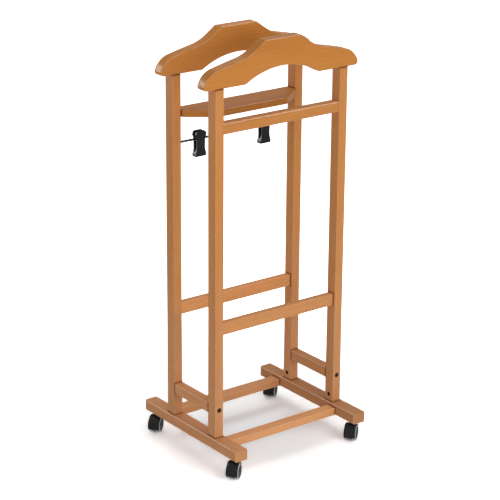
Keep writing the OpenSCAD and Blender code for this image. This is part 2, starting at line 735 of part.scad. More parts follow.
// side is -1 for the left and 1 for the right wheel of a caster. Z runs outwards.
module at_wheel(sx, sy, side) {
    at_swivel(sx, sy) translate([trail, 0, axle_z]) rotate([side * -90, 0, 0])
        translate([0, 0, wheel_x]) children();
}
module caster_tyre(sx, sy, side) {
    inner = disc_r + tyre_gap;
    color(grey) at_wheel(sx, sy, side) rotate_extrude($fn = 96) {
        translate([inner, 0]) square([tyre_r - shoulder - inner, wheel_w]);
        translate([inner, 0]) square([tyre_r - inner, wheel_w - shoulder]);
        intersection() {
            translate([tyre_r - shoulder, wheel_w - shoulder]) circle(shoulder, $fn = 48);
            translate([inner, 0]) square([tyre_r - inner, wheel_w]);
        }
    }
}
module caster_disc(sx, sy, side) {
    disc_w = wheel_w - disc_sink;
    color(charcoal) at_wheel(sx, sy, side) difference() {
        cylinder(r = disc_r, h = disc_w, $fn = 96);
        translate([0, 0, disc_w - dish]) difference() {
            cylinder(r = disc_r - rim_w, h = dish + cut, $fn = 96);
            cylinder(r = hub_r, h = dish + cut, $fn = 48);
        }
        translate([0, 0, -cut]) cylinder(r = axle_r + run_fit, h = cut + axle_in + hole_over, $fn = 48);
    }
}
module caster_sockets() {
    color(grey) for (sx = [-1, 1], sy = [-1, 1]) translate([sx * post_x, sy * stem_y, 0])
        difference() {
            union() {
                translate([0, 0, caster_h - flange_t])
                    cylinder(r = socket_r, h = flange_t + socket_l, $fn = 48);
                translate([0, 0, caster_h - flange_t]) cylinder(r = flange_r, h = flange_t, $fn = 48);
            }
            translate([0, 0, caster_h - flange_t - cut])
                cylinder(r = stem_r + run_fit, h = flange_t + socket_l + 2 * cut, $fn = 48);
        }
}

foot(-1);  // foot_left
foot(1);  // foot_right
post(-1, -1);  // post_front_left
post(1, -1);  // post_front_right
post(-1, 1);  // post_rear_left
post(1, 1);  // post_rear_right
hanger(-1);  // hanger_front
hanger(1);  // hanger_rear
base_rail(base_front_y);  // base_rail_front
base_rail(base_rear_y);  // base_rail_rear
side_rail(-1);  // side_rail_left
side_rail(1);  // side_rail_right
mid_rail(-1);  // mid_rail_front
mid_rail(1);  // mid_rail_rear
trouser_bar();
tray_shelf();
clip_rod();
dowels();
side_rail_screws();
foot_bolts();
cross_nuts();
caster_sockets();
clip_sleeve(clip_left_x);  // clip_left_sleeve
clip_rear_jaw(clip_left_x);  // clip_left_rear_jaw
clip_front_jaw(clip_left_x);  // clip_left_front_jaw
clip_spring(clip_left_x);  // clip_left_spring
clip_sleeve(clip_right_x);  // clip_right_sleeve
clip_rear_jaw(clip_right_x);  // clip_right_rear_jaw
clip_front_jaw(clip_right_x);  // clip_right_front_jaw
clip_spring(clip_right_x);  // clip_right_spring
caster_hood(-1, -1);  // front_left_hood
caster_stem(-1, -1);  // front_left_stem
caster_axle(-1, -1);  // front_left_axle
caster_tyre(-1, -1, -1);  // front_left_tyre_left
caster_tyre(-1, -1, 1);  // front_left_tyre_right
caster_disc(-1, -1, -1);  // front_left_disc_left
caster_disc(-1, -1, 1);  // front_left_disc_right
caster_hood(1, -1);  // front_right_hood
caster_stem(1, -1);  // front_right_stem
caster_axle(1, -1);  // front_right_axle
caster_tyre(1, -1, -1);  // front_right_tyre_left
caster_tyre(1, -1, 1);  // front_right_tyre_right
caster_disc(1, -1, -1);  // front_right_disc_left
caster_disc(1, -1, 1);  // front_right_disc_right
caster_hood(-1, 1);  // rear_left_hood
caster_stem(-1, 1);  // rear_left_stem
caster_axle(-1, 1);  // rear_left_axle
caster_tyre(-1, 1, -1);  // rear_left_tyre_left
caster_tyre(-1, 1, 1);  // rear_left_tyre_right
caster_disc(-1, 1, -1);  // rear_left_disc_left
caster_disc(-1, 1, 1);  // rear_left_disc_right
caster_hood(1, 1);  // rear_right_hood
caster_stem(1, 1);  // rear_right_stem
caster_axle(1, 1);  // rear_right_axle
caster_tyre(1, 1, -1);  // rear_right_tyre_left
caster_tyre(1, 1, 1);  // rear_right_tyre_right
caster_disc(1, 1, -1);  // rear_right_disc_left
caster_disc(1, 1, 1);  // rear_right_disc_right
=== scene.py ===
"""Looks of a wheeled double clothes valet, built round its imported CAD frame.

Lengths are in metres in the frame of the part: +Z up, origin on the floor under the middle
of the stand, front towards -Y. A size in millimetres is written as a number times MM, and
MERGE is how near two points of a mesh lie when they count as one.
"""

import logging
import math
from dataclasses import dataclass
from enum import Enum
from typing import Any, Optional, Union

import bmesh
import bpy
from mathutils import Matrix, Vector


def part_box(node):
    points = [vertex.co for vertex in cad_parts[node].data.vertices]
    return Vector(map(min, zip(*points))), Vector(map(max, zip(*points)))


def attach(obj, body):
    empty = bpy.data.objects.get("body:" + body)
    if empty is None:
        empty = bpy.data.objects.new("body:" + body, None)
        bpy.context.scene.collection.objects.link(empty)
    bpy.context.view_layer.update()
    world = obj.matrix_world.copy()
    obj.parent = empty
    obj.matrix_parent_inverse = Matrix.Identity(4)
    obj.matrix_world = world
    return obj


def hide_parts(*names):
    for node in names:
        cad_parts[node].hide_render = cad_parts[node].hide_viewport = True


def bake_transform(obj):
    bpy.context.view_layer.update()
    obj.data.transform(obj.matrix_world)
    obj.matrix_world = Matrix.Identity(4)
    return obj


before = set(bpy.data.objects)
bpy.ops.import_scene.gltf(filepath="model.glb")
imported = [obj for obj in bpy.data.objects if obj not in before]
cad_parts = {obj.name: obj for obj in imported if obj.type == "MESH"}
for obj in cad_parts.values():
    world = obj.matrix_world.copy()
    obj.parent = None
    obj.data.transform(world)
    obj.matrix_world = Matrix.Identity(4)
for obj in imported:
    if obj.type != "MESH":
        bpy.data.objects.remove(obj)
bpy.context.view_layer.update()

LOG = logging.getLogger("valet")
MM = 0.001
MERGE = 0.001 * MM
Colour = tuple[float, float, float, float]
Density = tuple[float, float]
Profile = tuple[tuple[float, float], ...]


def shade(red: int, green: int, blue: int) -> Colour:
    """Turns a colour as a screen shows it into the linear one that nodes take.

    Args:
        red: 0 to 255.
        green: 0 to 255.
        blue: 0 to 255.

    Returns:
        The linear colour, opaque.
    """

    def linear(level: int) -> float:
        """Undoes the screen's curve for one channel."""
        part = level / 255
        return part / 12.92 if part <= 0.04045 else ((part + 0.055) / 1.055) ** 2.4

    return (linear(red), linear(green), linear(blue), 1.0)


class Axis(Enum):
    """The three axes, as the places that they have in a vector."""

    X = 0
    Y = 1
    Z = 2

    def unit(self, along: float, across: float) -> tuple[float, float, float]:
        """Returns a vector with one value along this axis and another along the rest."""
        return tuple(along if place == self.value else across for place in range(3))


class Jaw(Enum):
    """The two jaws of a clip, as the way that each one's outer face looks along Y."""

    FRONT = -1
    REAR = 1

    @property
    def word(self) -> str:
        """The jaw's word in the names of nodes and pieces."""
        return self.name.lower()

    @property
    def body(self) -> str:
        """The jaw's word in the names of bodies."""
        return "front" if self is Jaw.FRONT else "back"


# ---------------------------------------------------------------- shader maths


class Sock:
    """One output of a node. Python sums on a number add Math nodes to its tree."""

    def __init__(self, graph: "Graph", socket: bpy.types.NodeSocket) -> None:
        """Wraps one output socket of a graph."""
        self.graph = graph
        self.socket = socket

    def maths(self, operation: str, *values: "Value") -> "Sock":
        """Adds one Math node.

        Args:
            operation: the node's operation, such as MULTIPLY.
            values: its inputs in order.

        Returns:
            The node's result.
        """
        inputs = dict(enumerate(values))
        return self.graph.node("ShaderNodeMath", {"operation": operation}, inputs)

    def __add__(self, other: "Value") -> "Sock":
        """self + other."""
        return self.maths("ADD", self, other)

    __radd__ = __add__

    def __mul__(self, other: "Value") -> "Sock":
        """self * other."""
        return self.maths("MULTIPLY", self, other)

    __rmul__ = __mul__

    def __sub__(self, other: "Value") -> "Sock":
        """self - other."""
        return self.maths("SUBTRACT", self, other)

    def __rsub__(self, other: "Value") -> "Sock":
        """other - self."""
        return self.maths("SUBTRACT", other, self)

    def __abs__(self) -> "Sock":
        """The size of self without its sign."""
        return self.maths("ABSOLUTE", self)

    def highest(self, other: "Value") -> "Sock":
        """The larger of two values."""
        return self.maths("MAXIMUM", self, other)

    def lowest(self, other: "Value") -> "Sock":
        """The smaller of two values."""
        return self.maths("MINIMUM", self, other)

    def root(self) -> "Sock":
        """The square root of self."""
        return self.maths("SQRT", self)


Value = Union[Sock, float, int]


class Graph:
    """The node tree of a material or of the world, with one way to add any node to it."""

    def __init__(self, owner: Union[bpy.types.Material, bpy.types.World]) -> None:
        """Empties the tree of its owner.

        Args:
            owner: the material or world whose nodes are built here.
        """
        owner.use_nodes = True
        self.owner = owner
        self.tree = owner.node_tree
        self.tree.nodes.clear()

    @classmethod
    def fresh(cls, name: str) -> "Graph":
        """Starts an empty tree in a new material."""
        return cls(bpy.data.materials.new(name))

    def put(self, target: bpy.types.NodeSocket, value: Any) -> None:
        """Fills one input.

        Args:
            target: the input.
            value: a wrapped socket to link, or a constant.
        """
        if isinstance(value, Sock):
            self.tree.links.new(value.socket, target)
        else:
            target.default_value = value

    def node(
        self,
        kind: str,
        settings: Optional[dict[str, Any]] = None,
        values: Optional[dict[Any, Any]] = None,
        output: Any = 0,
    ) -> Sock:
        """Adds a node.

        Args:
            kind: the node's type.
            settings: its settings, set first; "stops" gives a colour ramp's stops.
            values: links or constants for its inputs, by name or place.
            output: name or place of the output to hand back.

        Returns:
            That output, or an empty one from a node that has none.
        """
        added = self.tree.nodes.new(kind)
        for key, value in (settings or {}).items():
            if key != "stops":
                setattr(added, key, value)
                continue
            ramp = added.color_ramp
            while len(ramp.elements) < len(value):
                ramp.elements.new(0.5)
            for element, (place, colour) in zip(ramp.elements, value):
                element.position = place
                element.color = colour
        for key, value in (values or {}).items():
            self.put(added.inputs[key], value)
        return Sock(self, added.outputs[output] if added.outputs else None)

    def place(self) -> Sock:
        """Object coordinates, in metres."""
        return self.node("ShaderNodeTexCoord", output="Object")

    def facing(self) -> tuple[Sock, Sock, Sock]:
        """Splits the normal into its parts.

        Returns:
            How far the surface faces along X, Y and Z, without sign.
        """
        normal = self.node("ShaderNodeTexCoord", output="Normal")
        parts = self.node("ShaderNodeSeparateXYZ", values={0: normal})
        outputs = parts.socket.node.outputs
        return tuple(abs(Sock(self, outputs[name])) for name in "XYZ")

    def squareness(self) -> Sock:
        """How squarely the surface faces one of the axes; 1 is straight along it."""
        x, y, z = self.facing()
        return x.highest(y).highest(z)

    def mapped(
        self,
        scale: tuple[float, float, float],
        shift: tuple[float, float, float] = (0.0, 0.0, 0.0),
        turn: tuple[float, float, float] = (0.0, 0.0, 0.0),
    ) -> Sock:
        """Object coordinates that are scaled, turned and then shifted."""
        values = {"Vector": self.place(), "Location": shift, "Rotation": turn, "Scale": scale}
        return self.node("ShaderNodeMapping", values=values)

    def noise(self, vector: Sock, detail: float, rough: float = 0.5) -> Sock:
        """Soft noise from 0 to 1 over a vector."""
        values = {"Vector": vector, "Scale": 1.0, "Detail": detail, "Roughness": rough}
        return self.node("ShaderNodeTexNoise", values=values)

    def even_noise(self, density: float, detail: float, rough: float = 0.5) -> Sock:
        """Soft noise with the same number of patches a metre along each axis."""
        return self.noise(self.mapped((density,) * 3), detail, rough)

    def step(
        self, value: Value, low: float, high: float, start: float = 0.0, end: float = 1.0
    ) -> Sock:
        """Runs smoothly between two numbers, and stays at them outside.

        Args:
            value: what it follows.
            low: the value at which it leaves start.
            high: the value at which it reaches end.
            start: the first number.
            end: the second number.

        Returns:
            The running number.
        """
        return self.node(
            "ShaderNodeMapRange",
            {"interpolation_type": "SMOOTHSTEP"},
            {0: value, 1: low, 2: high, 3: start, 4: end},
        )

    def mix(self, share: Value, first: Any, second: Any, how: str = "MIX") -> Sock:
        """Mixes two colours.

        Args:
            share: how much of the second one is used, from 0 to 1.
            first: the colour underneath.
            second: the colour on top.
            how: the node's blend type.

        Returns:
            The mixed colour.
        """
        return self.node(
            "ShaderNodeMix",
            {"data_type": "RGBA", "blend_type": how},
            {0: share, 6: first, 7: second},
            output=2,
        )

    def vector(self, operation: str, *values: Any, output: Any = 0) -> Sock:
        """Adds one Vector Math node."""
        inputs = dict(enumerate(values))
        return self.node("ShaderNodeVectorMath", {"operation": operation}, inputs, output)

    def bump(self, height: Value, depth: float, strength: float) -> Sock:
        """A normal from a height of 0 to 1 that stands depth metres tall."""
        values = {"Height": height, "Distance": depth, "Strength": strength}
        return self.node("ShaderNodeBump", values=values)

    def surface(self, values: dict[str, Any]) -> bpy.types.Material:
        """Closes the tree with a Principled shader.

        Args:
            values: its inputs by name, links or constants.

        Returns:
            The finished material.
        """
        shader = self.node("ShaderNodeBsdfPrincipled", values=values)
        self.node("ShaderNodeOutputMaterial", values={"Surface": shader})
        return self.owner


# ---------------------------------------------------------------- finishes


@dataclass(frozen=True)
class Bore:
    """A round hole along X, with the same one on the other side of the stand."""

    end: float
    across: float
    height: float
    radius: float


@dataclass(frozen=True)
class StainedWood:
    """Beech with an orange-brown stain under satin lacquer.

    The year rings run round a pith that lies beside the piece, so each face cuts them in its
    own way. The stain evens them out to faint streaks. Fibres and dark ray flecks run along
    the grain. The arrises are painted paler, partly as wear and partly as a painted highlight:
    between any two sides of a bar, but only round the two large faces of a slab. A painted pale
    sheen, which changes with the height, stands for light from the floor and white surroundings.
    Painted shade darkens the wood along the joints with other boards, and paints the wall of a
    bore nearly black.

    A Density is how many patches a metre holds along the grain and across it. The slab field
    is the axis through a slab's thickness, and None on a bar. The painted sheen's strength is
    given at two heights, in the pair after it. The lip and the wall are the margins, past the
    bore's end and past its radius, in which its painted shade fades out.
    """

    name: str
    grain: Axis
    slab: Optional[Axis]
    seed: float
    # Tone: partly the board's own colour, partly painted light and shade for the light on it.
    tone: float
    joints: tuple[str, ...]
    bore: Optional[Bore]
    # Painted pale sheen, stronger near the floor, for light from the floor and white surroundings.
    bloom: tuple[float, float]
    bloom_z: tuple[float, float] = (0.05, 0.7)
    pale: Colour = shade(209, 140, 71)
    middle: Colour = shade(201, 131, 63)
    deep: Colour = shade(186, 115, 50)
    fleck: Colour = shade(140, 78, 34)
    # Paler arris colour: partly rubbed wear, partly a painted highlight.
    bare: Colour = shade(232, 184, 138)
    # The whitish colour of the painted sheen.
    milk: Colour = shade(236, 232, 230)
    # Painted shade: the colour that darkens the wood along its joints.
    pooled: Colour = shade(122, 62, 20)
    # Painted shade: the near-black colour of the wall of a bore.
    inside: Colour = shade(38, 22, 12)
    clouds: Density = (2.2, 17.0)
    streaks: Density = (5.0, 190.0)
    fibres: Density = (38.0, 1500.0)
    flecks: Density = (170.0, 900.0)
    rubbing: Density = (60.0, 240.0)
    ring_gap: float = 11 * MM
    pith: float = 130 * MM
    # How far the arrises are painted paler, as wear and as a painted highlight.
    wear: float = 0.6
    # How strong the painted joint shade is, and how far from the joint it fades out.
    pool: float = 0.72
    pool_w: float = 5 * MM
    gloss: float = 0.012
    coat_rough: float = 0.2
    ring_lean: float = 0.045
    ring_stretch: float = 0.12
    lip: tuple[float, float] = (0.5 * MM, 1.5 * MM)
    wall: tuple[float, float] = (0.1 * MM, 0.3 * MM)
    relief: float = 0.1 * MM

    def material(self) -> bpy.types.Material:
        """Builds the material.

        Returns:
            The finished material.
        """
        graph = Graph.fresh(self.name)
        clouds = self.along(graph, self.clouds, detail=3.0)
        streaks = self.along(graph, self.streaks, detail=4.0, rough=0.6)
        fibres = self.along(graph, self.fibres, detail=2.0)
        flecks = graph.step(self.along(graph, self.flecks, detail=1.0), 0.64, 0.72)
        rings = self.rings(graph)
        ends = self.ends(graph)
        blend = 0.6 * clouds + 0.08 * rings + 0.24 * streaks + 0.08 * fibres
        stops = [(0.2, self.deep), (0.5, self.middle), (0.8, self.pale)]
        colour = graph.node("ShaderNodeValToRGB", {"stops": stops}, {0: blend})
        colour = graph.mix(0.3 * flecks, colour, self.fleck)
        colour = graph.mix(0.3 * ends, colour, self.deep)
        # Paler arrises: partly rubbed wear, partly a painted highlight.
        colour = graph.mix(self.arris(graph) * self.wear, colour, self.bare)
        height = graph.node("ShaderNodeSeparateXYZ", values={0: graph.place()}, output="Z")
        # Painted sheen: a pale wash, stronger near the floor, stands for light from the floor and
        # surroundings.
        colour = graph.mix(graph.step(height, *self.bloom_z, *self.bloom), colour, self.milk)
        # Painted light and shade: the tone also makes a whole board lighter or darker.
        colour = graph.mix(1.0, colour, (self.tone, self.tone, self.tone, 1.0), "MULTIPLY")
        # Painted shade: the wood is darkened along its joints with other boards.
        colour = graph.mix(self.gathered(graph) * self.pool, colour, self.pooled)
        # Painted shade: the wall of a nut's bore is painted nearly black.
        if self.bore is not None:
            colour = graph.mix(self.bored(graph), colour, self.inside)
        relief = 0.5 * fibres + 0.3 * streaks + 0.2 * rings - 0.3 * flecks
        return graph.surface(
            {
                "Base Color": colour,
                "Roughness": 0.36 + 0.14 * streaks + 0.12 * ends + 0.1 * flecks,
                "Specular IOR Level": self.gloss,
                "Coat Weight": 0.07 + 0.05 * clouds,
                "Coat Roughness": self.coat_rough,
                "Normal": graph.bump(relief, self.relief, 0.4),
            }
        )

    def along(self, graph: Graph, density: Density, detail: float, rough: float = 0.5) -> Sock:
        """Noise that is drawn out along the grain, in a place of its own on each board."""
        shift = (self.seed, 1.7 * self.seed, 0.6 * self.seed)
        return graph.noise(graph.mapped(self.grain.unit(*density), shift), detail, rough)

    def rings(self, graph: Graph) -> Sock:
        """Draws the year rings.

        Args:
            graph: the material's tree.

        Returns:
            Bands from 0 to 1, stretched and warped along the grain.
        """
        lean = self.grain.unit(0.0, self.ring_lean)
        bearing = 9 * self.seed
        pith = [self.pith * math.cos(bearing), self.pith * math.sin(bearing)]
        shift = tuple(0.0 if place == self.grain.value else pith.pop() for place in range(3))
        stretch = self.grain.unit(self.ring_stretch, 1.0)
        settings = {"wave_type": "RINGS", "rings_direction": self.grain.name}
        values = {
            "Vector": graph.mapped(stretch, shift, lean),
            "Scale": math.pi / 10 / self.ring_gap,
            "Distortion": 5.0,
            "Detail": 2.0,
            "Detail Scale": 0.35,
        }
        return graph.node("ShaderNodeTexWave", settings, values, output="Fac")

    def gathered(self, graph: Graph) -> Sock:
        """Finds where painted shade darkens the wood along the joints.

        Args:
            graph: the material's tree.

        Returns:
            1 against another board, and 0 from pool_w away.
        """
        nearest: Value = 1.0
        for name in self.joints:
            low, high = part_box(name)
            out = graph.vector("SUBTRACT", graph.place(), (low + high) / 2)
            out = graph.vector("SUBTRACT", graph.vector("ABSOLUTE", out), (high - low) / 2)
            out = graph.vector("MAXIMUM", out, (0.0, 0.0, 0.0))
            nearest = graph.vector("LENGTH", out, output="Value").lowest(nearest)
        return graph.step(nearest, 0.0, self.pool_w, 1.0, 0.0)

    def bored(self, graph: Graph) -> Sock:
        """Finds the wall of the bore, which is painted dark as shade.

        Args:
            graph: the material's tree.

        Returns:
            1 on the wall, and 0 on the board's outer face and elsewhere.
        """
        place = graph.vector("ABSOLUTE", graph.place())
        out = graph.vector("SUBTRACT", place, (0.0, self.bore.across, self.bore.height))
        flat = graph.vector("MULTIPLY", out, Axis.X.unit(0.0, 1.0))
        away = graph.vector("LENGTH", flat, output="Value")
        along = graph.node("ShaderNodeSeparateXYZ", values={0: out}, output="X")
        ends = [self.bore.end + margin for margin in self.lip]
        sides = [self.bore.radius + margin for margin in self.wall]
        return graph.step(along, *ends, 1.0, 0.0) * graph.step(away, *sides, 1.0, 0.0)

    def ends(self, graph: Graph) -> Sock:
        """How much of the end grain a face shows, from 0 to 1."""
        return graph.step(graph.facing()[self.grain.value], 0.75, 0.98)

    def arris(self, graph: Graph) -> Sock:
        """Finds where the rounded edges are painted paler, partly as wear and partly as a painted
        highlight.

        Args:
            graph: the material's tree.

        Returns:
            How much paler they are painted, from 0 to 1.
        """
        if self.slab is None:
            flat = graph.squareness()
        else:
            through = graph.facing()[self.slab.value]
            flat = through.highest((1.0 - through * through).root())
        edge = graph.step(flat, 0.97, 0.78)
        # Patches along the grain that break up both the wear and the painted highlight.
        rubbed = graph.noise(graph.mapped(self.grain.unit(*self.rubbing)), detail=3.0)
        return edge * graph.step(rubbed, 0.36, 0.62, 0.25, 1.0)


@dataclass(frozen=True)
class BareBeech:
    """The pale unstained wood of the dowels."""

    name: str = "bare_beech"
    body: Colour = shade(206, 172, 128)
    pale: Colour = shade(229, 203, 164)

    def material(self) -> bpy.types.Material:
        """Builds the material.

        Returns:
            The finished material.
        """
        graph = Graph.fresh(self.name)
        fibres = graph.noise(graph.mapped((60.0, 60.0, 700.0)), detail=3.0)
        return graph.surface(
            {
                "Base Color": graph.mix(fibres, self.body, self.pale),
                "Roughness": 0.5 + 0.2 * fibres,
                "Normal": graph.bump(fibres, 0.1 * MM, 0.4),
            }
        )


@dataclass(frozen=True)
class MouldedPlastic:
    """Plastic from a textured mould: fine pebbling, cloudy gloss and rubbed edges."""

    name: str
    body: Colour
    rubbed: Colour
    rough: float
    gloss: float = 0.1
    pebble: float = 0.45 * MM
    depth: float = 0.03 * MM
    rubbing: float = 0.5
    cloud_density: float = 85.0
    scuff_density: tuple[float, float, float] = (260.0, 410.0, 330.0)

    def material(self) -> bpy.types.Material:
        """Builds the material.

        Returns:
            The finished material.
        """
        graph = Graph.fresh(self.name)
        pebbles = graph.even_noise(1 / self.pebble, 2.0, 0.6)
        clouds = graph.even_noise(self.cloud_density, 3.0)
        edge = graph.step(graph.squareness(), 0.93, 0.72)
        scuffs = graph.step(graph.noise(graph.mapped(self.scuff_density), detail=4.0), 0.5, 0.68)
        share = self.rubbing * (0.55 * edge * scuffs + 0.3 * clouds)
        return graph.surface(
            {
                "Base Color": graph.mix(share, self.body, self.rubbed),
                "Roughness": self.rough - 0.06 + 0.16 * clouds + 0.06 * scuffs,
                "Specular IOR Level": self.gloss,
                "Normal": graph.bump(pebbles, self.depth, 0.5),
            }
        )


@dataclass(frozen=True)
class TyreRubber:
    """Grey thermoplastic rubber, dusty and dull where it rolls."""

    name: str = "tyre_rubber"
    body: Colour = shade(186, 188, 193)
    dust: Colour = shade(206, 205, 202)
    pores: Colour = shade(92, 94, 99)
    grit_density: float = 1800.0
    patch_density: float = 150.0

    def material(self) -> bpy.types.Material:
        """Builds the material.

        Returns:
            The finished material.
        """
        graph = Graph.fresh(self.name)
        grit = graph.even_noise(self.grit_density, 3.0, 0.65)
        patches = graph.even_noise(self.patch_density, 4.0)
        colour = graph.mix(graph.step(patches, 0.42, 0.7, 0.0, 0.6), self.body, self.dust)
        colour = graph.mix(0.25 * grit, colour, self.pores)
        return graph.surface(
            {
                "Base Color": colour,
                "Roughness": 0.5 + 0.2 * patches,
                "Normal": graph.bump(grit, 0.05 * MM, 0.6),
            }
        )


@dataclass(frozen=True)
class Metal:
    """Plated or blackened metal with fine turning marks and small bright spots.

    The marks field is how many marks a metre holds along each axis.
    """

    name: str
    body: Colour
    bright: Colour
    marks: tuple[float, float, float]
    rough: float = 0.3
    metallic: float = 1.0
    spot_density: float = 420.0

    def material(self) -> bpy.types.Material:
        """Builds the material.

        Returns:
            The finished material.
        """
        graph = Graph.fresh(self.name)
        lines = graph.noise(graph.mapped(self.marks), detail=3.0, rough=0.6)
        spots = graph.even_noise(self.spot_density, 4.0)
        edge = graph.step(graph.squareness(), 0.96, 0.74)
        bright = graph.step(spots, 0.5, 0.7) * (0.3 + 0.5 * edge)
        return graph.surface(
            {
                "Base Color": graph.mix(bright, self.body, self.bright),
                "Metallic": self.metallic,
                "Roughness": self.rough - 0.05 + 0.14 * lines + 0.08 * spots,
                "Normal": graph.bump(lines, 0.015 * MM, 0.5),
            }
        )


HOOD = MouldedPlastic("hood_plastic", shade(24, 25, 27), shade(66, 67, 72), rough=0.3)
BEAD = MouldedPlastic("bead_plastic", shade(112, 113, 118), shade(150, 151, 156), rough=0.4)
CLIP = MouldedPlastic("clip_plastic", shade(13, 12, 12), shade(40, 39, 39), rough=0.36)
DISC = MouldedPlastic("disc_plastic", shade(62, 63, 67), shade(104, 105, 110), rough=0.42)
SOCKET = MouldedPlastic("socket_plastic", shade(120, 121, 125), shade(150, 150, 153), rough=0.48)
STEEL = Metal("zinc_steel", shade(176, 179, 184), shade(214, 216, 220), (260.0, 260.0, 2400.0))
SPRING = Metal("spring_wire", shade(150, 153, 158), shade(205, 208, 213), (900.0, 2600.0, 2600.0), 0.24)
BRONZE = Metal("bronzed_screws", shade(42, 35, 31), shade(120, 104, 90), (1900.0, 300.0, 1900.0), 0.38)
NUT = Metal("blackened_nuts", shade(20, 19, 20), shade(70, 66, 64), (1900.0, 300.0, 1900.0), 0.5, 0.2)
ROD = Metal("black_rod", shade(40, 40, 43), shade(132, 133, 138), (200.0, 1500.0, 1500.0), 0.34, 0.75)


# ---------------------------------------------------------------- shapes


def finish_shape(
    shape: bmesh.types.BMesh,
    name: str,
    body: str,
    material: bpy.types.Material,
    smooth_angle: float = 40.0,
) -> bpy.types.Object:
    """Turns a bmesh into a piece that rides on a body.

    Args:
        shape: the mesh, in place; it is freed.
        name: the piece's name.
        body: the CAD body that it moves with.
        material: its finish.
        smooth_angle: faces that meet at less than this many degrees are shaded smooth.

    Returns:
        The new object.
    """
    bmesh.ops.remove_doubles(shape, verts=shape.verts, dist=MERGE)
    bmesh.ops.recalc_face_normals(shape, faces=shape.faces)
    limit = math.radians(smooth_angle)
    for face in shape.faces:
        face.smooth = True
    for edge in shape.edges:
        edge.smooth = len(edge.link_faces) == 2 and edge.calc_face_angle(math.pi) < limit
    mesh = bpy.data.meshes.new(name)
    shape.to_mesh(mesh)
    shape.free()
    mesh.materials.append(material)
    piece = bpy.data.objects.new(name, mesh)
    bpy.context.scene.collection.objects.link(piece)
    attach(piece, body)
    return piece


def spin_round(shape: bmesh.types.BMesh, steps: int) -> None:
    """Turns all of a shape once round the Z axis and closes the turn.

    Args:
        shape: the open profile, which becomes the turned shape.
        steps: faces round the turn.
    """
    bmesh.ops.spin(
        shape,
        geom=shape.verts[:] + shape.edges[:],
        cent=(0, 0, 0),
        axis=(0, 0, 1),
        angle=math.tau,
        steps=steps,
        use_merge=True,
    )


def lathe(profile: Profile, radius: float, height: float, steps: int) -> bmesh.types.BMesh:
    """Turns a profile round the Z axis.

    Args:
        profile: points from one end to the other, as shares of the radius and the height.
        radius: the radius of the whole, in metres.
        height: the height that a share of 1 stands for, in metres.
        steps: faces round the turn.

    Returns:
        The turned shape, about the origin.
    """
    shape = bmesh.new()
    points = [shape.verts.new((out * radius, 0.0, up * height)) for out, up in profile]
    for first, second in zip(points, points[1:]):
        shape.edges.new((first, second))
    spin_round(shape, steps)
    bmesh.ops.remove_doubles(shape, verts=shape.verts, dist=MERGE)
    return shape


def ring(radius: float, wire: float, steps: int, sides: int) -> bmesh.types.BMesh:
    """Bends a round wire into a closed ring about the Z axis.

    Args:
        radius: from the axis to the middle of the wire.
        wire: the wire's own radius.
        steps: faces round the ring.
        sides: faces round the wire.

    Returns:
        The ring, about the origin.
    """
    shape = bmesh.new()
    place = Matrix.Translation((radius, 0, 0)) @ Matrix.Rotation(math.pi / 2, 4, "X")
    bmesh.ops.create_circle(shape, segments=sides, radius=wire, matrix=place)
    spin_round(shape, steps)
    return shape


def dress(material: bpy.types.Material, *nodes: str) -> None:
    """Gives CAD nodes a finish.

    Args:
        material: the finish.
        nodes: the names of the nodes.
    """
    for name in nodes:
        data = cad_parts[name].data
        data.materials.clear()
        data.materials.append(material)


# ---------------------------------------------------------------- sub-assemblies


